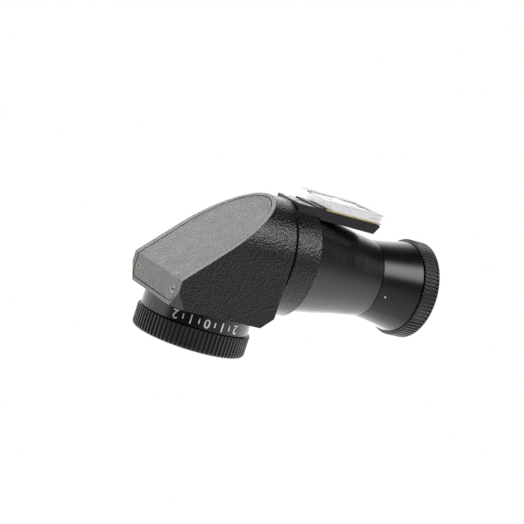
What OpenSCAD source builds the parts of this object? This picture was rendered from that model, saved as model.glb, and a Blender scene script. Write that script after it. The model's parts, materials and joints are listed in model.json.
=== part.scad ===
// Right-angle finder with a shoe foot: objective tube, roof prism housing and eyepiece.
// Millimetres, +Z up towards the eyepiece, +X towards the front lens.
// The origin is the middle of the foot's underside. The swivel and the tube share one axis along X.

/* [Foot] */
// Width of the foot plate that slides in the accessory shoe
foot_w = 18.6; // [17:0.1:20]
// Length of the foot plate along the tube
foot_l = 15.8; // [14:0.1:18]
// Thickness of the foot plate
foot_t = 1.9; // [1.7:0.05:2.2]
// Distance from the collar's lower side down to the foot's underside
foot_drop = 3; // [2.8:0.1:5.5]
// Gap between the foot plate and the shim
foot_gap = 0.35; // [0.2:0.05:0.8]
// Thickness of the shim under the base plate
spacer_t = 0.35; // [0.2:0.05:0.6]
// Width of the base plate, which passes between the shoe's lips
base_w = 12.2; // [11:0.1:12.4]
// Distance from the eyepiece axis to the middle of the foot
foot_x = 30.6; // [30:0.1:34]

/* [Prism housing] */
// Width of the housing and diameter of the collar
body_d = 29; // [28:0.1:34]
// Distance from the eyepiece axis to the housing's rear face
housing_rear = 13.8; // [13.6:0.1:16]
// Distance from the eyepiece axis to the swivel gap
housing_front = 13.25; // [13:0.05:15]
// Height of the housing's eyepiece face above the collar
housing_rise = 1.6; // [1.3:0.1:3.5]
// Wall of the housing
wall = 2; // [1.8:0.1:2.4]
// Width of the rim around the rear cover
rim_w = 2.05; // [1.9:0.05:2.6]
// Thickness of the rear cover
cover_t = 1.2; // [0.8:0.1:1.3]
// Depth of the rear cover below the rim
cover_inset = 0.06; // [0.02:0.02:0.6]
// Gap all round the rear cover
cover_gap = 0.2; // [0.1:0.05:0.3]

/* [Swivel] */
// Gap between the housing and the collar
swivel_gap = 0.4; // [0.2:0.05:0.6]
// Length of the collar along the tube
collar_l = 7.35; // [7.2:0.05:10]
// Radius of the swivel sleeve
sleeve_r = 10; // [9.6:0.1:10.3]
// Radial clearance of the running fits
run_fit = 0.04; // [0.02:0.01:0.08]

/* [Tube] */
// Length of the cone from the collar to the barrel joint
cone_l = 21.4; // [21:0.1:26]
// Length of the barrel from the joint to the front ring
barrel_l = 11.2; // [11:0.1:14]
// Radius of the tube at the joint
joint_r = 10.1; // [10:0.05:11]
// Radius of the barrel at the front ring
barrel_r = 11.9; // [11.7:0.05:12.3]

/* [Front ring] */
// Radius of the front ring over its ribs
front_ring_r = 12.65; // [12.5:0.05:13.9]
// Length of the front ring
front_ring_l = 4.7; // [4.6:0.05:6]
// Number of ribs on the front ring
front_ribs = 76; // [40:1:100]

/* [Eyepiece] */
// Radius of the eyepiece neck
neck_r = 13.7; // [13.3:0.05:14]
// Height of the neck between the housing and the dioptre ring
neck_h = 3.9; // [3:0.1:5]
// Radius of the dioptre ring over its ribs
dioptre_ring_r = 14.4; // [14.2:0.05:15.5]
// Height of the dioptre ring
dioptre_ring_h = 5.4; // [5.2:0.05:7]
// Number of ribs on the dioptre ring
dioptre_ribs = 80; // [40:1:110]
// Depth of the ribs
rib_d = 0.32; // [0.15:0.01:0.45]

/* [Lenses] */
// Radius of the eyepiece lenses
eye_lens_r = 7.6; // [7:0.1:7.8]
// Radius of the objective lenses
front_lens_r = 8.6; // [8:0.1:8.7]
// Radius of the relay lens
relay_lens_r = 8.6; // [8.3:0.1:8.8]
// Size of the roof prism's square faces from the axis
prism_a = 9.2; // [8.5:0.1:9.4]

/* [Hidden] */
$fn = 96;
eps = 0.01;
big = 100;
body_r = body_d / 2;
axis_h = body_r + foot_drop;                // tube axis above the foot's underside
housing_top = body_r + housing_rise;
gap = 0.15;                                 // gap where a turning ring meets a fixed face

// Stations along the tube, from the eyepiece axis
collar_x0 = housing_front + swivel_gap;
collar_x1 = collar_x0 + collar_l;
joint_x = collar_x1 + cone_l;
barrel_x1 = joint_x + barrel_l;
ring_x0 = barrel_x1 + gap;
ring_x1 = ring_x0 + front_ring_l;

// Heights below the tube axis, down to the foot
foot_z0 = -axis_h;
foot_z1 = foot_z0 + foot_t;
spacer_z0 = foot_z1 + foot_gap;
base_z0 = spacer_z0 + spacer_t;
flat_z = -(body_r - 1.75);                  // milled flat on the collar
base_step = 0.5;                            // the bar is thicker beyond the collar
base_z1 = flat_z + base_step;
base_overhang = 0.7;                        // the step starts this far in front of the collar
base_x0 = collar_x0 + 1.4;
foot_x0 = foot_x - foot_l / 2;
foot_x1 = foot_x + foot_l / 2;
base_x1 = foot_x1 + 0.8;
spacer_x0 = foot_x0 - 2.5;
spring_pocket_w = 11.4;
spring_pocket_d = 0.5;
spring_t = 0.25;
foot_screw_pitch = 9;
screw_r = 1;                                // M2 screws
screw_head_r = 1.9;
screw_head_t = 1;
base_screw_x = base_x0 + 2.5;
base_screw_y = 3.6;

// Swivel bearing
bore_r = sleeve_r + run_fit;
sleeve_in_r = sleeve_r - 1.5;
sleeve_x0 = housing_front - wall - 0.3;
retainer_t = 1.5;
web_x1 = collar_x1 - 3.55;                  // the collar's bearing web ends here
retainer_x0 = web_x1 + 0.05;
retainer_r = sleeve_r + 1;
thread_r = sleeve_r - 0.6;
spigot_r = body_r - 2.3;
spigot_l = 1.5;
ball_r = 0.8;
ball_x = collar_x0 + 1.9;
ball_c = sleeve_r + 0.55;                   // ball centre from the tube axis
stop_r = 12;
stop_pin_r = 0.6;
stop_depth = 0.8;
click_angles = [-90, 0, 90];

// Tube bores
cone_bore_r = relay_lens_r + 0.7;
cone_spigot_in_r = joint_r - 2.2;
mask_r = joint_r - 1.2;
mask_t = 0.5;
joint_spigot_l = 2.6;
joint_chamfer = 0.3;
relay_x1 = joint_x - 9.4;
relay_t = 2.6;
relay_ring_t = 1.5;
baffle_t = 0.6;
baffle_x = joint_x - 4.4;
baffle_r = cone_spigot_in_r;

// Front group
front_tube_r = front_ring_r - 1.65;
cell_r = front_lens_r + 1.3;
cell_bore_r = cell_r + run_fit;
front_tube_x1 = ring_x1 - 1.35;
cell_x0 = barrel_x1 - 2.2;
cell_x1 = ring_x1 - 0.75;
front_travel = 0.5;
key_r = 0.5;
key_x = barrel_x1 + 0.9;
clip_x = ring_x0 + 2.4;
clip_t = 0.4;

// Eyepiece group
neck_z1 = housing_top + neck_h;
dring_z0 = neck_z1 + gap;
dring_z1 = dring_z0 + dioptre_ring_h;
neck_tube_r = dioptre_ring_r - 2.9;
neck_tube_z1 = dring_z1 - 1.1;
ecell_r = eye_lens_r + 1.8;
ecell_bore_r = ecell_r + run_fit;
neck_spigot_r = ecell_bore_r + 1.35;
ecell_z0 = housing_top + 0.5;
ecell_z1 = dring_z1 - 1.2;
dkey_z = neck_z1 + 1.2;
dclip_z = dring_z0 + 2.6;

// Prism chamber
chamber_r = body_r - 4;
chamber_x1 = housing_front - wall - 0.3;
chamber_z1 = housing_top - wall;
slope_c = -4.6;                             // the rim plane is x + z = slope_c
cover_c = slope_c + cover_inset * sqrt(2);
cover_in_c = cover_c + cover_t * sqrt(2);
cover_x0 = -housing_rear + cover_inset;
cover_z1 = housing_top - 1.1;
cover_hw = body_r - rim_w;
cover_screw_y = cover_hw - 1.8;
cover_screw_z = cover_z1 - 2.8;
cover_screw_r = 1.05;
corner_cut = [2.7, 3.1, 4.22];              // lengths cut off along x, y and z at the rear corners
cover_drop = 1.1;                           // the cover's round end sits lower than the tube axis
cover_corner = 1.25;                        // bevelled corners of the cover
front_chamfer = 2.95;
ridge_d = 1.2;                              // the roof ridge lies this far behind the axis crossing
seat_t = 1;
pspring_t = 0.3;
pspring_w = 5;

// Placement: tube axis at axis_h, eyepiece axis behind the foot
module at_axis() {
  translate([-foot_x, 0, axis_h]) children();
}

// Turns a profile of [radius, x] points about the tube axis
module spin_x(pts) {
  rotate([0, 90, 0]) rotate_extrude() polygon(pts);
}

// Turns a profile of [radius, z] points about the eyepiece axis
module spin_z(pts) {
  rotate_extrude() polygon(pts);
}

// Cylinder along X from x0 to x1
module rod_x(r, x0, x1) {
  translate([x0, 0, 0]) rotate([0, 90, 0]) cylinder(r = r, h = x1 - x0);
}

// Cylinder along Z from z0 to z1
module rod_z(r, z0, z1) {
  translate([0, 0, z0]) cylinder(r = r, h = z1 - z0);
}

// Tube along X
module ring_x(ro, ri, x0, x1) {
  difference() {
    rod_x(ro, x0, x1);
    rod_x(ri, x0 - 1, x1 + 1);
  }
}

// Tube along Z
module ring_z(ro, ri, z0, z1) {
  difference() {
    rod_z(ro, z0, z1);
    rod_z(ri, z0 - 1, z1 + 1);
  }
}

// Block with given corners
module block(x0, x1, y0, y1, z0, z1) {
  translate([x0, y0, z0]) cube([x1 - x0, y1 - y0, z1 - z0]);
}

// Sag of a spherical face of radius rad at the distance r from its crown
function sag(r, rad) = rad - sqrt(rad * rad - r * r);

// Lens of radius r with its crowns at z0 and z1; rad0 and rad1 are the radii of the two faces
lens_steps = 6;
module lens_z(r, z0, z1, rad0, rad1) {
  share = [for (i = [0 : lens_steps]) r * i / lens_steps];
  lower = [for (s = share) [s, z0 + sag(s, rad0)]];
  upper = [for (i = [lens_steps : -1 : 0]) [share[i], z1 - sag(share[i], rad1)]];
  spin_z(concat(lower, upper));
}

module lens_x(r, x0, x1, rad0, rad1) {
  rotate([0, 90, 0]) lens_z(r, x0, x1, rad0, rad1);
}

// Outline of a ribbed ring: n ribs, each a land and a groove
function rib_outline(r, n, d) = [
  for (i = [0 : n - 1])
    for (k = [[0, d], [0.18, 0], [0.64, 0], [0.82, d]])
      let (a = (i + k[0]) * 360 / n) [(r - k[1]) * cos(a), (r - k[1]) * sin(a)]];

// Countersunk screw pointing along +Z from its head at z = 0, with a cross recess
module screw(r, head_r, head_t, length) {
  difference() {
    union() {
      cylinder(r1 = head_r, r2 = r, h = head_t);
      cylinder(r = r, h = length);
    }
    for (a = [0, 90])
      rotate([0, 0, a]) translate([-head_r * 0.62, -head_r * 0.13, -eps])
        cube([head_r * 1.24, head_r * 0.26, head_t * 0.55]);
  }
}

// Seat for such a screw, a hair larger
module screw_seat(r, head_r, head_t, length) {
  translate([0, 0, -1]) cylinder(r = head_r + 0.02, h = 1 + eps);
  cylinder(r1 = head_r + 0.02, r2 = r, h = head_t);
  cylinder(r = r, h = length);
}

// ---- foot ----

module foot_screw_places() {
  for (x = [-foot_screw_pitch / 2, foot_screw_pitch / 2])
    translate([foot_x + x, 0, foot_z0 + spring_pocket_d - spring_t]) children();
}

module shoe_foot() at_axis() color("gainsboro") difference() {
  union() {
    intersection() {
      block(foot_x0, foot_x1, -foot_w / 2, foot_w / 2, foot_z0, foot_z1);
      // Rounded front corners
      union() {
        block(foot_x0, foot_x1 - 2, -foot_w / 2, foot_w / 2, foot_z0, foot_z1);
        block(foot_x0, foot_x1, -foot_w / 2 + 2, foot_w / 2 - 2, foot_z0, foot_z1);
        for (s = [-1, 1])
          translate([foot_x1 - 2, s * (foot_w / 2 - 2), 0]) rod_z(2, foot_z0, foot_z1);
      }
    }
    block(foot_x0 + 1.5, foot_x1 - 1, -base_w / 2 + 1, base_w / 2 - 1, foot_z1 - eps, spacer_z0);
  }
  // Pocket for the leaf spring
  block(foot_x0 - 1, foot_x1 - 1.6, -spring_pocket_w / 2, spring_pocket_w / 2,
        foot_z0 - 1, foot_z0 + spring_pocket_d);
  foot_screw_places() cylinder(r = screw_r, h = 10);
  foot_screw_places() screw_seat(screw_r, screw_head_r, screw_head_t, 3);
}

module foot_spring() at_axis() color("silver") difference() {
  union() {
    block(foot_x0 + 0.4, foot_x1 - 2, -spring_pocket_w / 2 + 0.3, spring_pocket_w / 2 - 0.3,
          foot_z0 + spring_pocket_d - spring_t, foot_z0 + spring_pocket_d);
    // Raised bow across the middle
    intersection() {
      translate([foot_x, 0, foot_z0 + spring_pocket_d + 5.52]) rotate([90, 0, 0])
        cylinder(r = 6, h = spring_pocket_w - 3, center = true);
      block(foot_x - 3, foot_x + 3, -big, big, foot_z0 + 0.01, foot_z0 + spring_pocket_d - spring_t + eps);
    }
  }
  foot_screw_places() screw_seat(screw_r, screw_head_r, screw_head_t, 3);
}

module foot_screws() at_axis() color("lightgray")
  foot_screw_places() screw(screw_r, screw_head_r, screw_head_t, 3.6);

module foot_spacer() at_axis() color("gray") difference() {
  block(spacer_x0, base_x1 - 0.1, -base_w / 2, base_w / 2, spacer_z0, base_z0);
  foot_screw_places() cylinder(r = screw_r, h = 6);
}

module base_screw_places() {
  for (s = [-1, 1])
    translate([base_screw_x, s * base_screw_y, base_z0]) children();
}

module base_plate() at_axis() color("#26282b") difference() {
  // Side outline, stepped down behind the collar and sloped at the front end
  translate([0, base_w / 2, 0]) rotate([90, 0, 0]) linear_extrude(height = base_w)
    polygon([
      [base_x0, base_z0], [base_x1 - 0.75, base_z0], [base_x1 - 0.05, base_z0 + 0.45],
      [base_x1 - 1.4, base_z1], [collar_x1 + base_overhang, base_z1],
      [collar_x1 + base_overhang, flat_z], [base_x0, flat_z]]);
  foot_screw_places() cylinder(r = screw_r, h = 3.6);
  base_screw_places() screw_seat(screw_r, screw_head_r, screw_head_t, 10);
}

module base_screws() at_axis() color("#303236")
  base_screw_places() screw(screw_r, screw_head_r, screw_head_t, 3.6);

// ---- collar and swivel bearing ----

module collar() at_axis() color("#2b2d31") difference() {
  spin_x([
    [bore_r, collar_x0], [body_r - 0.3, collar_x0], [body_r, collar_x0 + 0.3],
    [body_r, collar_x1 - 0.3], [body_r - 0.3, collar_x1], [spigot_r, collar_x1],
    [spigot_r, collar_x1 - spigot_l], [retainer_r + 0.3, collar_x1 - spigot_l],
    [retainer_r + 0.3, web_x1], [bore_r, web_x1]]);
  // Milled flat for the base plate
  block(base_x0 - 0.4, collar_x1 + 1, -body_r, body_r, -body_r - 1, flat_z);
  // Ball hole, stop pin hole and screw threads
  translate([ball_x, 0, -body_r]) cylinder(r = ball_r + run_fit, h = body_r);
  translate([collar_x0, 0, -stop_r]) rod_x(stop_pin_r, -1, 2);
  base_screw_places() cylinder(r = screw_r, h = 3.6);
}

module stop_pin() at_axis() color("silver")
  translate([collar_x0, 0, -stop_r]) rod_x(stop_pin_r, -swivel_gap - stop_depth, 1.1);

module click_ball() at_axis() color("silver")
  translate([ball_x, 0, -ball_c]) sphere(r = ball_r);

// Compression spring between the ball and the base plate
spring_wire = 0.22;
spring_r = ball_r - spring_wire / 2 - 0.05;
spring_turns = 2;
spring_steps = 16;
spring_z0 = flat_z + spring_wire / 2 + 0.02;
spring_z1 = -ball_c - ball_r * 0.62 - spring_wire / 2;
module click_spring() at_axis() color("lightgray") {
  n = spring_turns * spring_steps;
  m = 6;
  pts = [
    for (i = [0 : n])
      let (a = i * 360 / spring_steps, z = spring_z0 + (spring_z1 - spring_z0) * i / n)
        for (j = [0 : m - 1])
          let (b = j * 360 / m, r = spring_r + spring_wire / 2 * cos(b))
            [ball_x + r * cos(a), r * sin(a), z + spring_wire / 2 * sin(b)]];
  sides = [
    for (i = [0 : n - 1])
      for (j = [0 : m - 1])
        [i * m + j, (i + 1) * m + j, (i + 1) * m + (j + 1) % m, i * m + (j + 1) % m]];
  caps = [[for (j = [0 : m - 1]) j], [for (j = [m - 1 : -1 : 0]) n * m + j]];
  polyhedron(points = pts, faces = concat(sides, caps));
}

module swivel_sleeve() at_axis() color("#4a4c50") difference() {
  spin_x([
    [sleeve_in_r, sleeve_x0], [sleeve_r, sleeve_x0], [sleeve_r, retainer_x0],
    [thread_r, retainer_x0], [thread_r, retainer_x0 + retainer_t],
    [sleeve_in_r, retainer_x0 + retainer_t]]);
  // Ball groove all round and three click dimples
  rotate([0, 90, 0]) rotate_extrude() translate([ball_c, ball_x]) circle(r = ball_r + 0.05);
  for (a = click_angles)
    rotate([a, 0, 0]) translate([ball_x, 0, -ball_c + 0.12]) sphere(r = ball_r + 0.05);
}

module swivel_retainer() at_axis() color("#4a4c50") difference() {
  ring_x(retainer_r, thread_r, retainer_x0, retainer_x0 + retainer_t);
  // Spanner slots
  for (s = [-1, 1])
    block(retainer_x0 + retainer_t - 0.6, retainer_x0 + retainer_t + 1, -0.6, 0.6,
          s * (retainer_r - 0.5) - 0.8, s * (retainer_r - 0.5) + 0.8);
}

// ---- tube ----

// Outer radius of the cone at a share t of its length, slightly hollow towards the joint
cone_r0 = body_r - 1.06;
function cone_r(t) = joint_r + (cone_r0 - joint_r) * pow(1 - t, 1.11);
cone_steps = 16;

module cone_tube() at_axis() color("#1d1e20") difference() {
  spin_x(concat(
    [[cone_bore_r, collar_x1 - spigot_l], [spigot_r, collar_x1 - spigot_l], [spigot_r, collar_x1]],
    [for (i = [0 : cone_steps]) [cone_r(i / cone_steps), collar_x1 + cone_l * i / cone_steps]],
    [[mask_r, joint_x], [mask_r, joint_x + joint_spigot_l], [cone_spigot_in_r, joint_x + joint_spigot_l],
     [cone_spigot_in_r, baffle_x], [cone_spigot_in_r - 0.6, baffle_x],
     [cone_spigot_in_r - 0.6, relay_x1], [relay_lens_r, relay_x1],
     [relay_lens_r, relay_x1 - 6], [cone_bore_r, relay_x1 - 6]]));
  // Relief under the base plate
  block(collar_x1 - 1, base_x1, -body_r, body_r, -body_r - 1, base_z1 + 0.05);
}

module relay_lens() at_axis() color("lightblue", 0.5)
  lens_x(relay_lens_r, relay_x1 - relay_t, relay_x1, 40, 40);

module relay_retainer() at_axis() color("#4a4c50")
  ring_x(relay_lens_r, relay_lens_r - 1, relay_x1 - relay_t + sag(relay_lens_r, 40) - relay_ring_t - 0.1,
         relay_x1 - relay_t + sag(relay_lens_r - 1, 40) - 0.1);

module tube_baffle() at_axis() color("#101112")
  spin_x([
    [baffle_r - 2.4, baffle_x], [baffle_r, baffle_x], [baffle_r, baffle_x + baffle_t],
    [baffle_r - 2.1, baffle_x + baffle_t]]);

module field_mask() at_axis() color("#101112") difference() {
  rod_x(mask_r, joint_x + joint_spigot_l, joint_x + joint_spigot_l + mask_t);
  block(joint_x, joint_x + 5, -6, 6, -4, 4);
}

// Outer radius of the barrel at a share t of its length
function flare_r(t) = joint_r + (barrel_r - joint_r) * pow(t, 1.35);
barrel_steps = 8;
module front_barrel() at_axis() color("#17181a") difference() {
  spin_x(concat(
    [[mask_r, joint_x], [joint_r - joint_chamfer, joint_x], [joint_r, joint_x + joint_chamfer]],
    [for (i = [1 : barrel_steps]) [flare_r(i / barrel_steps), joint_x + barrel_l * i / barrel_steps]],
    [[front_tube_r, barrel_x1], [front_tube_r, front_tube_x1], [cell_bore_r, front_tube_x1],
     [cell_bore_r, cell_x0 - front_travel - 0.3], [cell_bore_r - 1.4, cell_x0 - front_travel - 0.3],
     [mask_r - 1, joint_x + joint_spigot_l + mask_t + 1],
     [mask_r - 1, joint_x + joint_spigot_l + mask_t], [mask_r, joint_x + joint_spigot_l + mask_t]]));
  // Key hole and the groove of the wire clip
  translate([key_x, 0, 0]) cylinder(r = key_r, h = body_r);
  ring_x(body_r, front_tube_r - 0.3, clip_x - clip_t / 2, clip_x + clip_t / 2);
}

module objective_key() at_axis() color("silver")
  translate([key_x, 0, 0]) rod_z(key_r, cell_r - 0.6, front_tube_r - 0.35);

module front_clip() at_axis() color("silver") difference() {
  ring_x(front_tube_r + 0.3, front_tube_r - 0.3, clip_x - clip_t / 2, clip_x + clip_t / 2);
  block(clip_x - 1, clip_x + 1, -1, 1, -body_r, 0);
}

// Ribbed ring blank along Z from 0 to h; the ribs stop rim short of the rounded end
module ribbed_blank(r, h, n, d, rim) {
  inner = r - d - 0.04;
  linear_extrude(height = h - rim) polygon(rib_outline(r, n, d));
  spin_z([[0, 0.2], [inner, 0.2], [inner, h - rim * 0.6], [inner - rim * 0.25, h - rim * 0.2],
          [inner - rim * 0.7, h], [0, h]]);
}

module front_ring() at_axis() color("#141517") difference() {
  union() {
    translate([ring_x0, 0, 0]) rotate([0, 90, 0])
      ribbed_blank(front_ring_r, front_ring_l, front_ribs, rib_d, 1.05);
  }
  rod_x(front_tube_r + run_fit, ring_x0 - 1, front_tube_x1 + 0.15);
  rod_x(cell_bore_r, ring_x0, ring_x1 + 1);
  // Countersunk mouth
  translate([ring_x1 - 0.6, 0, 0]) rotate([0, 90, 0])
    cylinder(r1 = cell_bore_r, r2 = cell_bore_r + 1, h = 0.61);
  ring_x(front_tube_r + 0.5, front_tube_r, clip_x - clip_t / 2 - 0.1, clip_x + clip_t / 2 + 0.1);
}

front_lens_x1 = cell_x1 - 0.9;
front_lens_t = 2.2;
rear_lens_x0 = cell_x0 + 0.8;
rear_lens_t = 1.8;
module objective_cell() at_axis() color("#202124") difference() {
  ring_x(cell_r, front_lens_r, cell_x0, cell_x1);
  // Key slot
  block(key_x - key_r - front_travel - 0.15, key_x + key_r + front_travel + 0.15,
        -key_r - run_fit, key_r + run_fit, cell_r - 0.75, body_r);
}

module front_lens() at_axis() color("lightblue", 0.5)
  lens_x(front_lens_r, front_lens_x1 - front_lens_t, front_lens_x1, 60, 30);

module rear_lens() at_axis() color("lightblue", 0.5)
  lens_x(front_lens_r, rear_lens_x0, rear_lens_x0 + rear_lens_t, 45, 60);

module objective_spacer() at_axis() color("#101112")
  ring_x(front_lens_r, front_lens_r - 0.8, rear_lens_x0 + rear_lens_t - sag(front_lens_r - 0.8, 60) + 0.05,
         front_lens_x1 - front_lens_t + sag(front_lens_r - 0.8, 60) - 0.05);

module objective_retainer() at_axis() color("#202124")
  spin_x([
    [front_lens_r - 1, front_lens_x1 - sag(front_lens_r - 1, 30) + 0.05],
    [front_lens_r, front_lens_x1 - sag(front_lens_r - 1, 30) + 0.05],
    [front_lens_r, cell_x1 - 0.1], [front_lens_r - 0.5, cell_x1 - 0.1]]);

// ---- prism housing ----

// Round-bottomed section of half width r, flat-sided above the axis, from x0 to x1
module u_section(r, x0, x1, z1, drop = 0) {
  intersection() {
    translate([0, 0, -drop]) rod_x(r, x0, x1);
    block(x0, x1, -big, big, -big, z1);
  }
  block(x0, x1, -r, r, -drop, z1);
}

// Everything in front of the 45 degree plane x + z = c
module ahead_of_slope(c) {
  translate([c, 0, 0]) rotate([0, -45, 0]) translate([0, -big, -big]) cube([2 * big, 2 * big, 2 * big]);
}

// Corner piece cut off where the rear, side and eyepiece faces meet
module rear_corner() {
  k = 0.2;
  grow = 1 + 3 * k;
  p = [-housing_rear - corner_cut[0] * k, body_r + corner_cut[1] * k, housing_top + corner_cut[2] * k];
  polyhedron(
    points = [p, p + [corner_cut[0] * grow, 0, 0], p - [0, corner_cut[1] * grow, 0],
              p - [0, 0, corner_cut[2] * grow]],
    faces = [[0, 1, 2], [0, 2, 3], [0, 3, 1], [1, 3, 2]]);
}

module housing_blank() {
  difference() {
    intersection() {
      u_section(body_r, -housing_rear, housing_front, housing_top);
      ahead_of_slope(slope_c);
    }
    rear_corner();
    mirror([0, 1, 0]) rear_corner();
  }
}

// Outline of the cover seen from behind, grown by g: round below, bevelled corners above
module cover_outline(g) {
  r = cover_hw + g;
  z1 = cover_z1 + g;
  intersection() {
    u_section(r, -big, housing_front - 2.2, z1, cover_drop);
    rotate([90, 0, 90]) translate([0, 0, -big]) linear_extrude(height = 2 * big)
      polygon([[-r, -big], [r, -big], [r, z1 - cover_corner], [r - cover_corner, z1],
               [cover_corner - r, z1], [-r, z1 - cover_corner]]);
  }
}

// The cover: a sloped slab and the rear facet
module cover_space() {
  intersection() {
    union() {
      difference() {
        ahead_of_slope(cover_c);
        ahead_of_slope(cover_in_c);
      }
      block(cover_x0, cover_x0 + cover_t, -big, big, -big, big);
    }
    ahead_of_slope(cover_c);
    block(cover_x0, big, -big, big, -big, big);
    cover_outline(0);
  }
}

// The pocket is the same shape, open to the outside
module cover_pocket() {
  intersection() {
    union() {
      difference() {
        ahead_of_slope(slope_c - 10);
        ahead_of_slope(cover_in_c);
      }
      block(-big, cover_x0 + cover_t, -big, big, -big, big);
    }
    cover_outline(cover_gap);
  }
}

module cover_screw_places() {
  for (s = [-1, 1])
    translate([cover_x0, s * cover_screw_y, cover_screw_z]) rotate([0, 90, 0]) children();
}

module prism_housing() at_axis() color("#2b2d31") difference() {
  housing_blank();
  // Front edge chamfer on the eyepiece side
  translate([housing_front, 0, housing_top - front_chamfer]) rotate([0, -45, 0])
    translate([0, -big / 2, 0]) cube([10, big, 10]);
  cover_pocket();
  // Prism chamber
  u_section(chamber_r, -housing_rear + cover_inset + cover_t - eps, chamber_x1, chamber_z1);
  // Openings to the sleeve and the eyepiece
  rod_x(sleeve_r, 0, housing_front + 1);
  rod_z(neck_spigot_r, 0, housing_top + 1);
  // Half-round slot for the stop pin
  intersection() {
    ring_x(stop_r + stop_pin_r + 0.1, stop_r - stop_pin_r - 0.1, housing_front - stop_depth - 0.3,
           housing_front + 1);
    block(0, big, -big, big, -big, stop_pin_r + 0.1);
  }
  cover_screw_places() cylinder(r = cover_screw_r * 0.6, h = 4);
}

module rear_cover() at_axis() color("#6b6e73") difference() {
  cover_space();
  cover_screw_places() screw_seat(cover_screw_r * 0.6, cover_screw_r, 0.6, 5);
}

module cover_screws() at_axis() color("#8a7a5a")
  cover_screw_places() screw(cover_screw_r * 0.6, cover_screw_r, 0.6, 3);

module roof_prism() at_axis() color("lightcyan", 0.5) intersection() {
  block(-prism_a - 2, prism_a, -prism_a, prism_a, -prism_a - 2, prism_a);
  ahead_of_slope(-ridge_d * sqrt(2));
  // Roof: two faces at 90 degrees that meet in the ridge, along the slope
  rotate([0, -45, 0]) translate([-ridge_d, 0, -big]) rotate([0, 0, -45])
    cube([2 * big, 2 * big, 2 * big]);
}

module prism_seat() at_axis() color("#303236") difference() {
  intersection() {
    union() {
      block(-prism_a, prism_a + seat_t, -prism_a, prism_a, prism_a, prism_a + seat_t);
      block(prism_a, prism_a + seat_t, -prism_a, prism_a, -prism_a, prism_a + seat_t);
    }
    u_section(chamber_r - 0.1, -big, big, big);
  }
  rod_x(prism_a - 1.8, 0, big);
  rod_z(prism_a - 1.8, 0, big);
}

// The slope's own frame: x into the prism, z along the slope
module prism_spring() at_axis() color("silver")
  rotate([0, -45, 0])
    block(-ridge_d - pspring_t, -ridge_d, -chamber_r + 0.3, chamber_r - 0.3,
          -pspring_w / 2, pspring_w / 2);

module prism_pad() at_axis() color("#222222")
  rotate([0, -45, 0])
    block(cover_in_c / sqrt(2), -ridge_d - pspring_t, -4, 4, -3.5, 3.5);

// ---- eyepiece ----

module eyepiece_neck() at_axis() color("#17181a") difference() {
  spin_z([
    [ecell_bore_r, chamber_z1 + 0.2], [neck_spigot_r, chamber_z1 + 0.2], [neck_spigot_r, housing_top],
    [neck_r, housing_top], [neck_r, neck_z1 - 0.2], [neck_r - 0.2, neck_z1], [neck_tube_r, neck_z1],
    [neck_tube_r, neck_tube_z1], [ecell_bore_r, neck_tube_z1]]);
  translate([0, 0, dkey_z]) rod_x(key_r, 0, body_r);
  ring_z(body_r, neck_tube_r - 0.3, dclip_z - clip_t / 2, dclip_z + clip_t / 2);
}

module dioptre_key() at_axis() color("silver")
  translate([0, 0, dkey_z]) rod_x(key_r, ecell_r - 0.6, neck_tube_r - 0.35);

module dioptre_clip() at_axis() color("silver") difference() {
  ring_z(neck_tube_r + 0.3, neck_tube_r - 0.3, dclip_z - clip_t / 2, dclip_z + clip_t / 2);
  block(-body_r, 0, -1, 1, dclip_z - 1, dclip_z + 1);
}

module dioptre_ring() at_axis() color("#141517") difference() {
  translate([0, 0, dring_z0])
    ribbed_blank(dioptre_ring_r, dioptre_ring_h, dioptre_ribs, rib_d, 0.7);
  rod_z(neck_tube_r + run_fit, dring_z0 - 1, neck_tube_z1 + 0.1);
  rod_z(ecell_bore_r, dring_z0, dring_z1 + 1);
  translate([0, 0, dring_z1 - 0.5]) cylinder(r1 = ecell_bore_r, r2 = ecell_bore_r + 1, h = 0.51);
  ring_z(neck_tube_r + 0.5, neck_tube_r, dclip_z - clip_t / 2 - 0.1, dclip_z + clip_t / 2 + 0.1);
}

dioptre_travel = 1;
eye_lens_z1 = ecell_z1 - 0.8;
eye_lens_t = 2.6;
field_lens_z0 = ecell_z0 + 0.9;
field_lens_t = 2.2;
module eyepiece_cell() at_axis() color("#202124") difference() {
  ring_z(ecell_r, eye_lens_r, ecell_z0, ecell_z1);
  block(ecell_r - 0.75, body_r, -key_r - run_fit, key_r + run_fit,
        dkey_z - key_r - dioptre_travel - 0.15, dkey_z + key_r + dioptre_travel + 0.15);
}

module field_lens() at_axis() color("lightblue", 0.5)
  lens_z(eye_lens_r, field_lens_z0, field_lens_z0 + field_lens_t, 60, 28);

module eye_lens() at_axis() color("lightblue", 0.5)
  lens_z(eye_lens_r, eye_lens_z1 - eye_lens_t, eye_lens_z1, 28, 60);

module eyepiece_spacer() at_axis() color("#101112")
  ring_z(eye_lens_r, eye_lens_r - 0.8, field_lens_z0 + field_lens_t - sag(eye_lens_r - 0.8, 28) + 0.05,
         eye_lens_z1 - eye_lens_t + sag(eye_lens_r - 0.8, 28) - 0.05);

module eyepiece_retainer() at_axis() color("#202124")
  spin_z([
    [eye_lens_r - 0.9, eye_lens_z1 - sag(eye_lens_r - 0.9, 60) + 0.05],
    [eye_lens_r, eye_lens_z1 - sag(eye_lens_r - 0.9, 60) + 0.05],
    [eye_lens_r, ecell_z1 - 0.1], [eye_lens_r - 0.5, ecell_z1 - 0.1]]);

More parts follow.
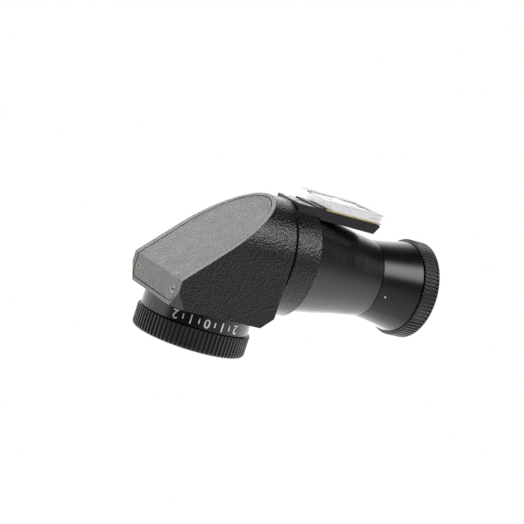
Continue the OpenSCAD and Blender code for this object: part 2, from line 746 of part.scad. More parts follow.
shoe_foot();
foot_spring();
foot_screws();
foot_spacer();
base_plate();
base_screws();
collar();
stop_pin();
click_ball();
click_spring();
cone_tube();
relay_lens();
relay_retainer();
tube_baffle();
field_mask();
front_barrel();
objective_key();
front_clip();
front_ring();
objective_cell();
front_lens();
rear_lens();
objective_spacer();
objective_retainer();
prism_housing();
rear_cover();
cover_screws();
roof_prism();
prism_seat();
prism_spring();
prism_pad();
swivel_sleeve();
swivel_retainer();
eyepiece_neck();
dioptre_key();
dioptre_clip();
dioptre_ring();
eyepiece_cell();
field_lens();
eye_lens();
eyepiece_spacer();
eyepiece_retainer();
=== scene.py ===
"""Looks of a right-angle shoe-mount finder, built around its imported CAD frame."""
import json
import math

import bmesh
import bpy
from mathutils import Matrix, Vector


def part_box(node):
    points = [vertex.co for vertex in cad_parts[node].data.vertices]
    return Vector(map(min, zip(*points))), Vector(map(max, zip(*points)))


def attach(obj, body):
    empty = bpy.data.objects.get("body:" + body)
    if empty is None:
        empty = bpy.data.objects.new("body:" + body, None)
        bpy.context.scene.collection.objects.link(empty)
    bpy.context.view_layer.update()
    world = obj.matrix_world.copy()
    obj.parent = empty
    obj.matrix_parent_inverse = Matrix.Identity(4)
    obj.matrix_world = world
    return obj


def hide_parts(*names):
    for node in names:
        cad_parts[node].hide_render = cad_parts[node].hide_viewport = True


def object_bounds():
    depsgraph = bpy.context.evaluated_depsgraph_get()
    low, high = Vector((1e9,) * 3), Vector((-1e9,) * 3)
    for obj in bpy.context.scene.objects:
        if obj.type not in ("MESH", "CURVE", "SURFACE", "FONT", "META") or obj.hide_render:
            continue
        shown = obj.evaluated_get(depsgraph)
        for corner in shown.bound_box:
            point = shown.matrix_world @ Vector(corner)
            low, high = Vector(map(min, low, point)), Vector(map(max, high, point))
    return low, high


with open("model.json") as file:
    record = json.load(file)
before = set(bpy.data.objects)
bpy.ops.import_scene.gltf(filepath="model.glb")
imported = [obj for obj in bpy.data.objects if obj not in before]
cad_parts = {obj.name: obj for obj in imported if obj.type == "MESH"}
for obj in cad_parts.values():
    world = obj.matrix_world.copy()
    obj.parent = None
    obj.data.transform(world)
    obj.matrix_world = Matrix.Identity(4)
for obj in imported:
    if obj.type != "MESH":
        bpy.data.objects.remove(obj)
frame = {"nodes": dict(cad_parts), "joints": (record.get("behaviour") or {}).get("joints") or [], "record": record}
CAD_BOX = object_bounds()
NODES = frame["nodes"]
JOINTS = {j["name"]: j for j in frame["joints"]}
MM = 0.001

# ---------------------------------------------------------------- places taken from the frame
TUBE_Z = JOINTS["viewer_swivel"]["pos_m"][2]           # height of the tube axis
EYE_X = JOINTS["dioptre_turn"]["pos_m"][0]             # station of the eyepiece axis
NECK_LO, NECK_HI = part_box("eyepiece_neck")
RING_LO, RING_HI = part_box("dioptre_ring")
FRONT_LO, FRONT_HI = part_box("front_ring")
JOINT_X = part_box("front_barrel")[0].x                  # where the barrel starts
FOOT_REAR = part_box("shoe_foot")[0].x


# ---------------------------------------------------------------- node graph helpers
NOISE_SPAN = (0.3, 0.7)                                # where most of a noise's values lie
FACING_SPAN = (0.95, 0.985)                            # cosines over which a face begins to count as facing


class Tree:
    """A node tree with short calls for the nodes used here."""

    def __init__(self, tree):
        self.tree = tree

    def add(self, kind, **settings):
        node = self.tree.nodes.new(kind)
        for key, value in settings.items():
            setattr(node, key, value)
        return node

    def link(self, source, target):
        self.tree.links.new(source, target)

    def put(self, socket, value):
        """Links a socket, or sets a plain value."""
        if isinstance(value, bpy.types.NodeSocket):
            self.link(value, socket)
        else:
            socket.default_value = value

    def ramp(self, value, low, high, a=0.0, b=1.0, **settings):
        """Maps low..high to a..b, clamped."""
        node = self.add("ShaderNodeMapRange", **settings)
        self.put(node.inputs["Value"], value)
        for key, number in (("From Min", low), ("From Max", high), ("To Min", a), ("To Max", b)):
            node.inputs[key].default_value = number
        return node.outputs["Result"]

    def math(self, operation, a, b):
        node = self.add("ShaderNodeMath", operation=operation)
        self.put(node.inputs[0], a)
        self.put(node.inputs[1], b)
        return node.outputs[0]

    def blend(self, share, a, b):
        """Mixes two colours."""
        node = self.add("ShaderNodeMix", data_type="RGBA")
        self.put(node.inputs["Factor"], share)
        self.put(node.inputs[6], a)
        self.put(node.inputs[7], b)
        return node.outputs[2]


class Graph(Tree):
    """A material round a principled shader, with textures laid out in the part's own frame."""

    def __init__(self, name):
        self.mat = bpy.data.materials.new(name)
        self.mat.use_nodes = True
        super().__init__(self.mat.node_tree)
        self.shader = self.tree.nodes["Principled BSDF"]
        coords = self.add("ShaderNodeTexCoord")
        self.place = coords.outputs["Object"]
        self.facing = coords.outputs["Normal"]

    def mapped(self, scale, turn=(0, 0, 0)):
        node = self.add("ShaderNodeMapping")
        node.inputs["Rotation"].default_value = turn
        node.inputs["Scale"].default_value = scale
        self.link(self.place, node.inputs["Vector"])
        return node.outputs["Vector"]

    def noise_node(self, scale, detail, rough, at):
        node = self.add("ShaderNodeTexNoise")
        node.inputs["Scale"].default_value = scale
        node.inputs["Detail"].default_value = detail
        node.inputs["Roughness"].default_value = rough
        self.link(at or self.place, node.inputs["Vector"])
        return node

    def noise(self, scale, detail=4.0, rough=0.55, at=None):
        return self.noise_node(scale, detail, rough, at).outputs["Fac"]

    def spread(self, noise, a=0.0, b=1.0):
        """Maps a noise's usual range to a..b."""
        return self.ramp(noise, *NOISE_SPAN, a, b)

    def warped(self, scale, amount):
        """The place, moved about by noise, so that cells lose their straight borders."""
        centred = self.add("ShaderNodeVectorMath", operation="SUBTRACT")
        self.link(self.noise_node(scale, 2.0, 0.5, None).outputs["Color"], centred.inputs[0])
        centred.inputs[1].default_value = (0.5, 0.5, 0.5)
        scaled = self.add("ShaderNodeVectorMath", operation="SCALE")
        self.link(centred.outputs[0], scaled.inputs[0])
        scaled.inputs["Scale"].default_value = amount
        moved = self.add("ShaderNodeVectorMath", operation="ADD")
        self.link(self.place, moved.inputs[0])
        self.link(scaled.outputs[0], moved.inputs[1])
        return moved.outputs[0]

    def cells(self, scale, smooth=0.0, at=None):
        """Distance to the nearest cell centre, rounded off when smooth is above 0."""
        node = self.add("ShaderNodeTexVoronoi", feature="SMOOTH_F1" if smooth else "F1")
        node.inputs["Scale"].default_value = scale
        if smooth:
            node.inputs["Smoothness"].default_value = smooth
        self.link(at or self.place, node.inputs["Vector"])
        return node.outputs["Distance"]

    def along(self, axis):
        """The place's coordinate along one axis, in metres."""
        split = self.add("ShaderNodeSeparateXYZ")
        self.link(self.place, split.inputs[0])
        return split.outputs[axis]

    def faces(self, direction):
        """1 on faces that look along a unit direction in the part's own frame, 0 elsewhere."""
        node = self.add("ShaderNodeVectorMath", operation="DOT_PRODUCT")
        self.link(self.facing, node.inputs[0])
        node.inputs[1].default_value = direction
        return self.ramp(node.outputs["Value"], *FACING_SPAN)

    def bump(self, height, distance, strength=1.0):
        """A normal bumped by a height; the distance is in metres."""
        node = self.add("ShaderNodeBump")
        node.inputs["Strength"].default_value = strength
        node.inputs["Distance"].default_value = distance
        self.link(height, node.inputs["Height"])
        return node.outputs["Normal"]

    def finish(self, **sockets):
        """Feeds the shader's sockets, named in snake case, and returns the material."""
        for key, value in sockets.items():
            self.put(self.shader.inputs[key.replace("_", " ").title().replace("Ior", "IOR")], value)
        return self.mat


def rgb(r, g, b, level=1.0):
    return (r * level, g * level, b * level, 1.0)


# ---------------------------------------------------------------- materials
# Texture scales are repeats a metre, depths are metres
GRAIN_WARP = 0.15 * MM                                 # how far grains are moved about
SLOPE = (-math.sqrt(0.5), 0.0, -math.sqrt(0.5))        # the way the housing's 45 degree face looks
REAR = (-1.0, 0.0, 0.0)
REAR_PAINTED_LIGHT_SHARE = 0.6                                       # the rear facet gets this share of the sloping face's painted light
TURNING = 9000                                         # turning lines
LINE_DEPTH = 0.0012 * MM
SCUFF_FADE = 0.4 * MM
DULL_FROM, DULL_TO = 0.12 * MM, 0.03 * MM              # heights over the foot's underside
METAL_GRAIN = 0.002 * MM


def crackle_paint(name, base, dust, grain=2000, depth=0.09 * MM, rough=(0.17, 0.29), chips=0.0, painted_light_tone=None):
    """Baked wrinkle paint: rounded grains of about half a millimetre, finer ones between and dust in the valleys.
    With a tone given, the sloping faces and those behind them are painted that much paler: painted light from the
    key light."""
    g = Graph(name)
    grains = g.cells(grain, smooth=0.35, at=g.warped(grain * 0.8, GRAIN_WARP))
    fine = g.noise(grain * 1.6, 2.0, 0.6)
    broad = g.noise(90, 5.0, 0.6)
    height = g.math("ADD", grains, g.math("MULTIPLY", fine, 0.5))
    tone = g.blend(g.spread(broad), rgb(*base), rgb(*base, 1.3))
    tone = g.blend(g.ramp(fine, 0.46, 0.66), tone, rgb(*dust))
    specks = g.ramp(g.noise(grain * 1.7, 2.0), 0.72, 0.78, 0.0, chips)
    tone = g.blend(specks, tone, rgb(0.30, 0.29, 0.27))
    if painted_light_tone is not None:
        # Painted light: faces turned towards the key light are painted in a paler tone
        painted_light = g.blend(g.ramp(fine, 0.40, 0.66), rgb(*painted_light_tone), rgb(*painted_light_tone, 2.2))
        rear = g.math("MULTIPLY", g.faces(REAR), REAR_PAINTED_LIGHT_SHARE)
        tone = g.blend(g.math("MAXIMUM", g.faces(SLOPE), rear), tone, painted_light)
    roughness = g.math("ADD", g.spread(g.noise(320, 4.0), *rough), g.ramp(fine, 0.4, 0.7, -0.04, 0.06))
    return g.finish(base_color=tone, roughness=roughness, normal=g.bump(height, depth))


def turned_black(name, base, rough, axis, worn_from=None):
    """Black anodised aluminium with faint turning lines across an axis.
    In front of the station worn_from it is rubbed bright in specks."""
    g = Graph(name)
    along = {"X": (TURNING, 60, 60), "Z": (60, 60, TURNING)}[axis]
    lines = g.noise(1.0, 3.0, 0.6, at=g.mapped(scale=along))
    cloud = g.noise(120, 5.0, 0.6)
    specks = g.noise(5200, 2.0, 0.6)
    dust = g.ramp(g.noise(2100, 2.0), 0.70, 0.76, 0.0, 0.15)
    worn = g.ramp(g.noise(1500, 3.0), 0.64, 0.74, 0.0, 0.0 if worn_from is None else 0.5)
    if worn_from is not None:
        worn = g.math("MULTIPLY", worn, g.ramp(g.along("X"), worn_from, worn_from + SCUFF_FADE))
    tone = g.blend(g.spread(cloud), rgb(*base), rgb(*base, 1.5))
    tone = g.blend(dust, tone, rgb(0.10, 0.10, 0.10))
    tone = g.blend(worn, tone, rgb(0.45, 0.45, 0.46))
    roughness = g.math("ADD", g.spread(lines, rough - 0.05, rough + 0.06),
                       g.ramp(cloud, 0.35, 0.7, -0.03, 0.05))
    height = g.math("ADD", lines, g.math("MULTIPLY", specks, 0.6))
    return g.finish(base_color=tone, roughness=roughness, normal=g.bump(height, LINE_DEPTH),
                    metallic=g.math("MULTIPLY", worn, 0.9))


def polished_chrome(name):
    """Chrome, bright on its sides and rubbed dull on the underside, which slides in the shoe."""
    g = Graph(name)
    dull = g.ramp(g.along("Z"), DULL_FROM, DULL_TO)
    brushed = g.noise(1.0, 3.0, 0.6, at=g.mapped(scale=(150, 6000, 3000)))
    scratched = g.noise(1.0, 2.0, 0.5, at=g.mapped(scale=(90, 4200, 900), turn=(0, 0, 0.12)))
    scratches = g.ramp(scratched, 0.62, 0.7)
    smudge = g.noise(260, 4.0, 0.6)
    bright = g.blend(g.ramp(smudge, 0.35, 0.7), rgb(0.95, 0.95, 0.96), rgb(0.84, 0.84, 0.85))
    rubbed = g.blend(g.ramp(smudge, 0.35, 0.7), rgb(0.40, 0.405, 0.41), rgb(0.32, 0.325, 0.33))
    tone = g.blend(dull, bright, rubbed)
    tone = g.blend(g.math("MULTIPLY", scratches, 0.4), tone, rgb(0.36, 0.35, 0.33))
    roughness = g.math("ADD", g.ramp(smudge, 0.3, 0.75, 0.36, 0.46), g.math("MULTIPLY", scratches, 0.1))
    return g.finish(base_color=tone, roughness=roughness, metallic=0.6, normal=g.bump(brushed, METAL_GRAIN, 0.7))


def bright_steel(name, colour, tarnish, patch=700, painted_shade_behind=None):
    """Steel or plated brass whose plating is worn through in patches; behind a given station it is painted
    near-black and not metallic: painted shade along the foot's rear edge.
    """
    g = Graph(name)
    patches = g.ramp(g.noise(patch, 4.0, 0.6), 0.48, 0.60)
    lines = g.noise(6000, 2.0)
    tone = g.blend(patches, rgb(*colour), rgb(*tarnish))
    roughness = g.spread(g.noise(patch * 2, 3.0), 0.22, 0.45)
    normal = g.bump(lines, METAL_GRAIN, 0.8)
    outside_painted_shade = 1.0
    if painted_shade_behind is not None:
        # Behind the station the metal is painted near-black and not metallic: painted shade along the foot's rear
        # edge
        outside_painted_shade = g.ramp(g.along("X"), painted_shade_behind - 0.05 * MM, painted_shade_behind)
        tone = g.blend(outside_painted_shade, rgb(0.008, 0.008, 0.009), tone)
    return g.finish(base_color=tone, roughness=roughness, normal=normal, metallic=outside_painted_shade)


def coated_glass(name, tint, coat):
    """Polished lens; the coating's colour shows in the reflection."""
    g = Graph(name)
    haze = g.noise(420, 3.0)
    tone = g.blend(g.ramp(haze, 0.35, 0.7), rgb(*tint), rgb(*tint, 0.86))
    return g.finish(base_color=tone, roughness=g.ramp(haze, 0.4, 0.7, 0.01, 0.035), ior=1.52,
                    transmission_weight=0.72, coat_weight=0.6, coat_roughness=0.02, coat_tint=rgb(*coat))


def flat_black(name):
    """Anti-reflection paint with a fine tooth."""
    g = Graph(name)
    tooth = g.noise(3800, 3.0)
    tone = g.blend(g.spread(g.noise(200, 4.0)), rgb(0.012, 0.012, 0.012), rgb(0.024, 0.024, 0.0252))
    return g.finish(base_color=tone, roughness=g.spread(tooth, 0.55, 0.8),
                    normal=g.bump(tooth, 0.012 * MM, 0.8))


def enamel(name, colour):
    """Paint filled into engraved marks, slightly uneven."""
    g = Graph(name)
    chips = g.noise(2400, 4.0)
    tone = g.blend(g.ramp(chips, 0.55, 0.75, 0.0, 0.5), rgb(*colour), rgb(*colour, 0.55))
    return g.finish(base_color=tone, roughness=g.spread(chips, 0.4, 0.65),
                    normal=g.bump(chips, 0.008 * MM, 0.8))


def foam(name):
    """Open-pored foam rubber."""
    g = Graph(name)
    pores = g.cells(1900)
    tone = g.blend(g.ramp(pores, 0.1, 0.6), rgb(0.008, 0.008, 0.008), rgb(0.05, 0.05, 0.05))
    return g.finish(base_color=tone, roughness=g.ramp(pores, 0.1, 0.6, 0.8, 0.95), normal=g.bump(pores, 0.1 * MM))


MATS = {
    "foot_chrome": polished_chrome("foot_chrome"),
    "spring_steel": bright_steel("spring_steel", (0.60, 0.61, 0.63), (0.38, 0.37, 0.36)),
    "screw_steel": bright_steel("screw_steel", (0.40, 0.40, 0.41), (0.42, 0.33, 0.20), 1500),
    "screw_worn": bright_steel("screw_worn", (0.34, 0.30, 0.22), (0.05, 0.045, 0.04), 1600),
    # the shim behind the foot's rear edge is painted near-black: painted shade
    "shim_metal": bright_steel("shim_metal", (0.72, 0.60, 0.30), (0.50, 0.38, 0.18),
                               painted_shade_behind=FOOT_REAR),
    "base_black": crackle_paint("base_black", (0.006, 0.006, 0.007), (0.010, 0.010, 0.011),
                                grain=3000, depth=0.006 * MM, rough=(0.30, 0.42)),
    # the housing's sloping rim and rear faces are painted paler: painted light
    "crackle_black": crackle_paint("crackle_black", (0.003, 0.0034, 0.0052), (0.005, 0.0055, 0.0078),
                                   painted_light_tone=(0.11, 0.111, 0.113)),
    # the cover's sloping face is painted paler: painted light from the key light
    "crackle_grey": crackle_paint("crackle_grey", (0.003, 0.003, 0.0032), (0.005, 0.005, 0.0055),
                                  depth=0.1 * MM, rough=(0.28, 0.42), chips=0.35,
                                  painted_light_tone=(0.12, 0.121, 0.123)),
    "tube_black": turned_black("tube_black", (0.003, 0.003, 0.0036), 0.24, "X"),
    "barrel_black": turned_black("barrel_black", (0.004, 0.004, 0.005), 0.21, "X"),
    "neck_black": turned_black("neck_black", (0.006, 0.006, 0.0065), 0.28, "Z"),
    "ring_black": turned_black("ring_black", (0.016, 0.016, 0.0175), 0.42, "Z"),
    "ring_worn": turned_black("ring_worn", (0.004, 0.004, 0.0045), 0.26, "X", worn_from=FRONT_HI.x - 1.3 * MM),
    "inner_black": flat_black("inner_black"),
    "bearing_metal": bright_steel("bearing_metal", (0.62, 0.50, 0.28), (0.42, 0.32, 0.18)),
    "lens_coated": coated_glass("lens_coated", (0.70, 0.76, 0.86), (0.62, 0.45, 0.85)),
    "prism_glass": coated_glass("prism_glass", (0.85, 0.90, 0.88), (0.9, 0.95, 0.95)),
    "foam": foam("foam"),
}
WHITE = enamel("white_enamel", (0.80, 0.80, 0.78))


# ---------------------------------------------------------------- modelling helpers
def link(name, mesh, material):
    obj = bpy.data.objects.new(name, mesh)
    bpy.context.scene.collection.objects.link(obj)
    mesh.materials.append(material)
    return obj


def to_mesh(bm, name):
    mesh = bpy.data.meshes.new(name)
    bm.to_mesh(mesh)
    bm.free()
    return mesh


def smooth(mesh):
    mesh.polygons.foreach_set("use_smooth", [True] * len(mesh.polygons))


def arc(cx, cy, r, a0, a1, n):
    """Points of an arc about (cx, cy), angles in degrees."""
    return [(cx + r * math.cos(math.radians(a0 + (a1 - a0) * i / n)),
             cy + r * math.sin(math.radians(a0 + (a1 - a0) * i / n))) for i in range(n + 1)]


def lathe(name, profile, place, segments, material, closed=True, groove=None):
    """Turns (radius, height) points about Z and places the result by a matrix.
    groove(angle, radius, height) gives a radius to subtract."""
    bm = bmesh.new()
    rings = []
    for k in range(segments):
        a = 2 * math.pi * k / segments
        ring = []
        for r, h in profile:
            radius = r - (groove(a, r, h) if groove else 0.0)
            ring.append(bm.verts.new((radius * math.cos(a), radius * math.sin(a), h)))
        rings.append(ring)
    count = len(profile)
    last = count if closed else count - 1
    for k in range(segments):
        a, b = rings[k], rings[(k + 1) % segments]
        for i in range(last):
            j = (i + 1) % count
            bm.faces.new((a[i], b[i], b[j], a[j]))
    bmesh.ops.recalc_face_normals(bm, faces=bm.faces)
    mesh = to_mesh(bm, name)
    mesh.transform(place)
    smooth(mesh)
    return link(name, mesh, material)


def along_tube(x):
    """Matrix that turns a lathe's Z into the tube axis, +X, from station x."""
    return Matrix.Translation((x, 0, TUBE_Z)) @ Matrix.Rotation(math.pi / 2, 4, "Y")


def along_eyepiece(z):
    """Matrix that puts a lathe on the eyepiece axis, from height z."""
    return Matrix.Translation((EYE_X, 0, z))


def soften(obj, width):
    """Rounds a CAD node's sharp edges in the render, and smooths its curved faces."""
    smooth(obj.data)
    bevel = obj.modifiers.new("edge", "BEVEL")
    bevel.width = width
    bevel.segments = 3
    bevel.limit_method = "ANGLE"
    bevel.angle_limit = SHARP_ANGLE
    bevel.harden_normals = True
    bevel.use_clamp_overlap = True
    normals = obj.modifiers.new("normals", "WEIGHTED_NORMAL")
    normals.keep_sharp = True
    normals.weight = 60                                # leans the normals towards the larger faces


# ---------------------------------------------------------------- the CAD nodes' finishes
SHARP_ANGLE = math.radians(30)                         # edges sharper than this are rounded
OWN_FINISH = {"eyepiece_neck": "neck_black", "front_barrel": "barrel_black", "cover_screws": "screw_worn"}
SLOTS = {s["node"]: s["material_slot"] for s in frame["record"]["subparts"]}
# Width of the rounding of a node's edges, in millimetres
EDGE = {"shoe_foot": 0.12, "foot_screws": 0.04, "foot_spacer": 0.05, "base_plate": 0.12, "base_screws": 0.04,
        "collar": 0.06, "prism_housing": 0.22, "rear_cover": 0.12, "cover_screws": 0.035,
        "eyepiece_neck": 0.06, "objective_cell": 0.06, "eyepiece_cell": 0.06, "front_barrel": 0.05,
        "cone_tube": 0.05}
for node_name, obj in NODES.items():
    slot = SLOTS[node_name]
    material = MATS[OWN_FINISH.get(node_name, slot)]
    obj.data.materials.clear()
    obj.data.materials.append(material)
    if node_name in EDGE:
        soften(obj, EDGE[node_name] * MM)


# ---------------------------------------------------------------- ribbed rings
RIB_DEPTH = 0.42 * MM
RIB_FROM = 0.02 * MM                                   # where the ribs begin over the ring's lower face
RIB_FADE = 0.25 * MM                                   # the length a groove takes to run out
RIB_STEPS = 10                                         # mesh columns a rib
SIDE_STEPS = 12                                        # mesh rows along the ribs
GROOVE_WIDTH, SHOULDER = 0.66, 0.34                    # shares of half a rib's pitch
RIM = 1.6 * MM                                         # only this outer wall is grooved
CELL_GAP = 0.04 * MM                                   # between a ring's mouth and its lens cell


def eased(share):
    """Clamps a share to 0..1 and gives it soft ends."""
    share = min(1.0, max(0.0, share))
    return share * share * (3 - 2 * share)


def rib_shape(phase):
    """Depth share of a rib's groove at a phase from 0 to 1: a flat land, soft shoulders and a round groove."""
    distance = abs((phase % 1.0) - 0.5) * 2
    return eased((GROOVE_WIDTH - distance) / SHOULDER)


def ribbed_ring(name, node, body, place, outer, inner_profile, height, ribs, rib_to, crown, finish):
    """A ring with moulded ribs up to a height; inner_profile closes its section from top to bottom."""
    def groove(angle, radius, h):
        if radius < outer - RIM:
            return 0.0
        inside = min(h - RIB_FROM, rib_to - h)
        return RIB_DEPTH * rib_shape(angle * ribs / (2 * math.pi)) * eased(inside / RIB_FADE + 0.5)

    side = [(outer, RIB_FROM + (rib_to - RIB_FROM) * i / SIDE_STEPS) for i in range(SIDE_STEPS + 1)]
    section = [(outer - 0.18 * MM, 0.0), (outer - 0.05 * MM, 0.04 * MM), (outer, 0.16 * MM)]
    section += [p for p in side if p[1] > 0.2 * MM and p[1] < height - crown]
    section += arc(outer - crown, height - crown, crown, 0, 90, 8)
    section += inner_profile
    ring = lathe(name, section, place, ribs * RIB_STEPS, MATS[finish], groove=groove)
    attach(ring, body)
    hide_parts(node)
    return ring


def make_dioptre_ring():
    """Eyepiece ring: a wide dished face round the eye lens, ribs below its rounded crown."""
    outer = (RING_HI.x - RING_LO.x) / 2
    height = RING_HI.z - RING_LO.z
    cell_lo, cell_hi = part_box("eyepiece_cell")
    mouth = (cell_hi.x - cell_lo.x) / 2 + CELL_GAP
    bore = outer - 2.86 * MM
    lip = height - 1.0 * MM
    inner = [(mouth + 2.6 * MM, height), (mouth + 2.2 * MM, height - 0.12 * MM),
             (mouth + 1.1 * MM, height - 0.16 * MM), (mouth + 0.12 * MM, height - 0.5 * MM),
             (mouth, height - 0.62 * MM), (mouth, lip + 0.04 * MM), (bore, lip), (bore, 0.1 * MM),
             (bore + 0.1 * MM, 0.0)]
    ribbed_ring("dioptre_ring_ribbed", "dioptre_ring", "dioptre", along_eyepiece(RING_LO.z), outer, inner, height,
                ribs=80, rib_to=height - 0.45 * MM, crown=0.95 * MM, finish="ring_black")


def make_front_ring():
    """Objective's ring: a thin wall round the front lens, rubbed bright at its front edge."""
    outer = (FRONT_HI.y - FRONT_LO.y) / 2
    height = FRONT_HI.x - FRONT_LO.x
    cell_lo, cell_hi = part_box("objective_cell")
    mouth = (cell_hi.y - cell_lo.y) / 2 + CELL_GAP
    bore = outer - 1.61 * MM
    lip = height - 1.2 * MM
    inner = [(outer - 1.2 * MM, height), (mouth + 1.2 * MM, height), (mouth + 1.0 * MM, height - 0.1 * MM),
             (mouth + 0.1 * MM, height - 0.55 * MM), (mouth, height - 0.66 * MM), (mouth, lip), (bore, lip),
             (bore, 0.1 * MM), (bore + 0.1 * MM, 0.0)]
    ribbed_ring("front_ring_ribbed", "front_ring", "front_focus", along_tube(FRONT_LO.x), outer, inner, height,
                ribs=76, rib_to=height - 0.75 * MM, crown=0.6 * MM, finish="ring_worn")


make_dioptre_ring()
make_front_ring()


# ---------------------------------------------------------------- white marks
MARK = 0.03 * MM                                       # height of the paint above the metal
NUMBERS = (("2", 70), ("1", 87), ("0", 104), ("1", 121), ("2", 138))     # number and degrees from +X
TICKS = (78.5, 95.5, 112.5, 129.5)                     # degrees from +X
NUMBER_SIZE = 3.2 * MM
STROKE_GROWTH = 0.02 * MM                              # bolder than the plain font
TICK_WIDTH, TICK_HEIGHT = 0.3 * MM, 1.3 * MM
TICK_CORNER = 0.02 * MM
SCALE_DROP = 2.1 * MM                                  # middle of the scale below the ring
DOT_RADIUS = 0.24 * MM
DOT_TURN = math.radians(-79)                           # round the tube from straight up
DOT_AHEAD = 2.3 * MM                                   # from the barrel's joint
DOT_OUT = 10.33 * MM                                   # from the tube axis, on the barrel's surface


def on_neck(mesh, angle):
    """Wraps a flat mark (x to the right, y up, z out) round the neck at an angle from +X towards +Y."""
    radius = (NECK_HI.x - NECK_LO.x) / 2
    middle = RING_LO.z - SCALE_DROP
    for vertex in mesh.vertices:
        x, y, z = vertex.co
        a = math.radians(angle) + x / radius
        r = radius + z
        vertex.co = (EYE_X + r * math.cos(a), r * math.sin(a), middle + y)


def make_scale():
    """Dioptre numbers and ticks printed on the neck."""
    bm = bmesh.new()
    for number, angle in NUMBERS:
        curve = bpy.data.curves.new("number", "FONT")
        curve.body = number
        curve.align_x, curve.align_y = "CENTER", "CENTER"
        curve.size = NUMBER_SIZE
        curve.offset = STROKE_GROWTH
        curve.extrude = MARK
        curve.resolution_u = 6
        flat = bpy.data.objects.new("number", curve)
        bpy.context.scene.collection.objects.link(flat)
        bpy.context.view_layer.update()
        mesh = bpy.data.meshes.new_from_object(flat.evaluated_get(bpy.context.evaluated_depsgraph_get()))
        on_neck(mesh, angle)
        bm.from_mesh(mesh)
        bpy.data.objects.remove(flat)
        bpy.data.meshes.remove(mesh)
    for angle in TICKS:
        tick = bmesh.new()
        bmesh.ops.create_cube(tick, size=1.0, matrix=Matrix.Diagonal((TICK_WIDTH, TICK_HEIGHT, 2 * MARK, 1.0)))
        bmesh.ops.bevel(tick, geom=tick.edges[:], offset=TICK_CORNER, segments=1, affect="EDGES")
        mesh = to_mesh(tick, "tick")
        on_neck(mesh, angle)
        bm.from_mesh(mesh)
        bpy.data.meshes.remove(mesh)
    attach(link("dioptre_scale", to_mesh(bm, "dioptre_scale"), WHITE), "viewer")


def make_dot():
    """White index dot on the barrel, just in front of the joint."""
    profile = [(0.0, -MARK), (DOT_RADIUS, -MARK), (DOT_RADIUS, MARK * 0.5), (DOT_RADIUS * 0.8, MARK),
               (0.0, MARK * 1.2)]
    turn = Matrix.Rotation(DOT_TURN, 4, "X")
    place = Matrix.Translation((JOINT_X + DOT_AHEAD, 0, TUBE_Z)) @ turn @ Matrix.Translation((0, 0, DOT_OUT))
    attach(lathe("index_dot", profile, place, 24, WHITE, closed=False), "shoe_mount")


make_scale()
make_dot()


# ---------------------------------------------------------------- camera, light and floor
def look_from(azimuth, elevation, distance, target, roll, lens):
    """Camera round a target, rolled about its own axis; angles in degrees, lens in millimetres for a 36 mm sensor.
    Azimuth 0 looks along +Y."""
    a, e = math.radians(azimuth), math.radians(elevation)
    back = Vector((math.sin(a) * math.cos(e), -math.cos(a) * math.cos(e), math.sin(e)))
    data = bpy.data.cameras.new("camera")
    data.sensor_width = 36.0
    data.lens = lens
    camera = bpy.data.objects.new("camera", data)
    bpy.context.scene.collection.objects.link(camera)
    turn = (-back).to_track_quat("-Z", "Y").to_matrix().to_4x4() @ Matrix.Rotation(math.radians(roll), 4, "Z")
    camera.matrix_world = Matrix.Translation(Vector(target) + back * distance) @ turn
    data.clip_start = 0.01                             # metres
    bpy.context.scene.camera = camera


def make_camera():
    # The finder is seen from its left side and a little from below, held upside down
    target = Vector((EYE_X + 10.0 * MM, 5.8 * MM, TUBE_Z + 1.5 * MM))
    look_from(azimuth=209.73, elevation=-7.187, distance=452.6 * MM, target=target, roll=-161.9, lens=126.9)


# Light around the tube axis: angle in degrees from straight down towards +Y, and its level.
# The key light is a soft box low on the left. FRONT is seen by surfaces turned towards the objective, BACK by
# those turned away from it, AROUND by the rest.
AROUND = [(-180, 1.6), (-140, 2.2), (-125, 3.0), (-110, 2.6), (-98, 1.5), (-80, 2.0), (-62, 2.2), (-48, 1.5),
          (-32, 0.25), (-12, 0.03), (14, 0.06), (34, 5.4), (46, 5.4), (67, 0.12), (80, 0.24), (98, 0.58),
          (120, 0.8), (160, 1.05)]
FRONT = [(-180, 2.3), (-110, 2.0), (-70, 1.7), (-50, 1.4), (-34, 0.12), (0, 0.02), (44, 0.02), (62, 0.3),
         (80, 0.72), (100, 1.4), (130, 1.8)]
BACK = [(-180, 1.9), (-125, 1.9), (-98, 1.35), (-62, 2.0), (-30, 0.3), (0, 0.06), (60, 0.06), (150, 0.08),
        (172, 1.8)]
TOP_LEVEL = 8.0                                        # ramps hold a level divided by this
FRONT_SPAN = (0.52, 0.72)                              # x of a direction over which FRONT takes over
BACK_SPAN = (0.0, -0.2)                                # x over which BACK takes over
FLOOR_HALF = 3.0                                       # metres
FLOOR_GAP = 0.02 * MM                                  # under the foot


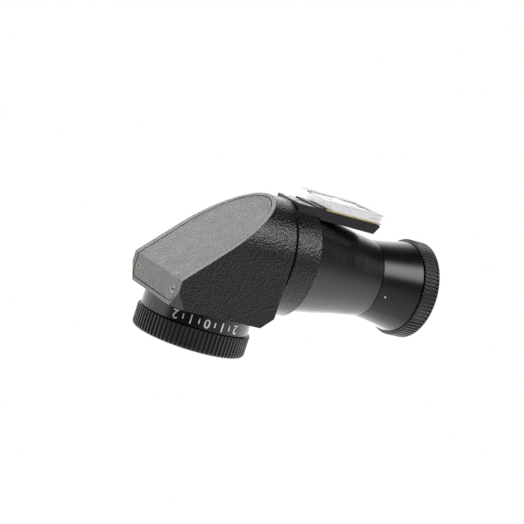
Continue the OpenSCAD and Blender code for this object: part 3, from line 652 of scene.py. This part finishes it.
def make_world():
    """White surroundings: the camera sees plain white, the object a studio with a key light and dark gaps."""
    world = bpy.data.worlds.new("studio")
    bpy.context.scene.world = world
    world.use_nodes = True
    world.node_tree.nodes.clear()
    w = Tree(world.node_tree)
    split = w.add("ShaderNodeSeparateXYZ")
    w.link(w.add("ShaderNodeTexCoord").outputs["Generated"], split.inputs[0])
    down = w.math("MULTIPLY", split.outputs["Z"], -1.0)
    turn = w.ramp(w.math("ARCTAN2", split.outputs["Y"], down), -math.pi, math.pi)

    def levels(stops):
        node = w.add("ShaderNodeValToRGB")
        w.link(turn, node.inputs["Fac"])
        node.color_ramp.interpolation = "EASE"
        elements = node.color_ramp.elements
        stops = stops + [(180, stops[0][1])]
        while len(elements) < len(stops):
            elements.new(0.5)
        for element, (degrees, level) in zip(elements, stops):
            element.position = (degrees + 180) / 360
            element.color = (level / TOP_LEVEL,) * 3 + (1.0,)
        return node.outputs["Color"]

    def takes_over(start, end):
        return w.ramp(split.outputs["X"], start, end, interpolation_type="SMOOTHSTEP")

    light = w.blend(takes_over(*FRONT_SPAN), levels(AROUND), levels(FRONT))
    light = w.blend(takes_over(*BACK_SPAN), light, levels(BACK))
    seen = w.add("ShaderNodeLightPath").outputs["Is Camera Ray"]
    background = w.add("ShaderNodeBackground")
    w.link(w.blend(seen, light, rgb(1, 1, 1, 1 / TOP_LEVEL)), background.inputs["Color"])
    background.inputs["Strength"].default_value = TOP_LEVEL
    w.link(background.outputs[0], w.add("ShaderNodeOutputWorld").inputs["Surface"])


def make_floor():
    """Pale floor under the foot. It shows from above only, so a view from below looks past it."""
    bm = bmesh.new()
    bmesh.ops.create_grid(bm, x_segments=1, y_segments=1, size=FLOOR_HALF)
    mesh = to_mesh(bm, "floor")
    mesh.transform(Matrix.Translation((0, 0, CAD_BOX[0].z - FLOOR_GAP)))
    g = Graph("floor")
    tone = g.blend(g.spread(g.noise(30, 4.0)), rgb(0.80, 0.80, 0.80), rgb(0.82, 0.82, 0.82))
    g.finish(base_color=tone, roughness=g.spread(g.noise(80, 3.0), 0.6, 0.7))
    clear = g.add("ShaderNodeBsdfTransparent")
    mixer = g.add("ShaderNodeMixShader")
    g.link(g.add("ShaderNodeNewGeometry").outputs["Backfacing"], mixer.inputs[0])
    g.link(g.shader.outputs[0], mixer.inputs[1])
    g.link(clear.outputs[0], mixer.inputs[2])
    g.link(mixer.outputs[0], g.tree.nodes["Material Output"].inputs["Surface"])
    floor = link("floor", mesh, g.mat)
    floor.visible_diffuse = False
    floor.visible_glossy = False
    floor.visible_transmission = False
    floor.visible_shadow = False


make_camera()
make_world()
make_floor()
bpy.context.scene.view_settings.view_transform = "Standard"
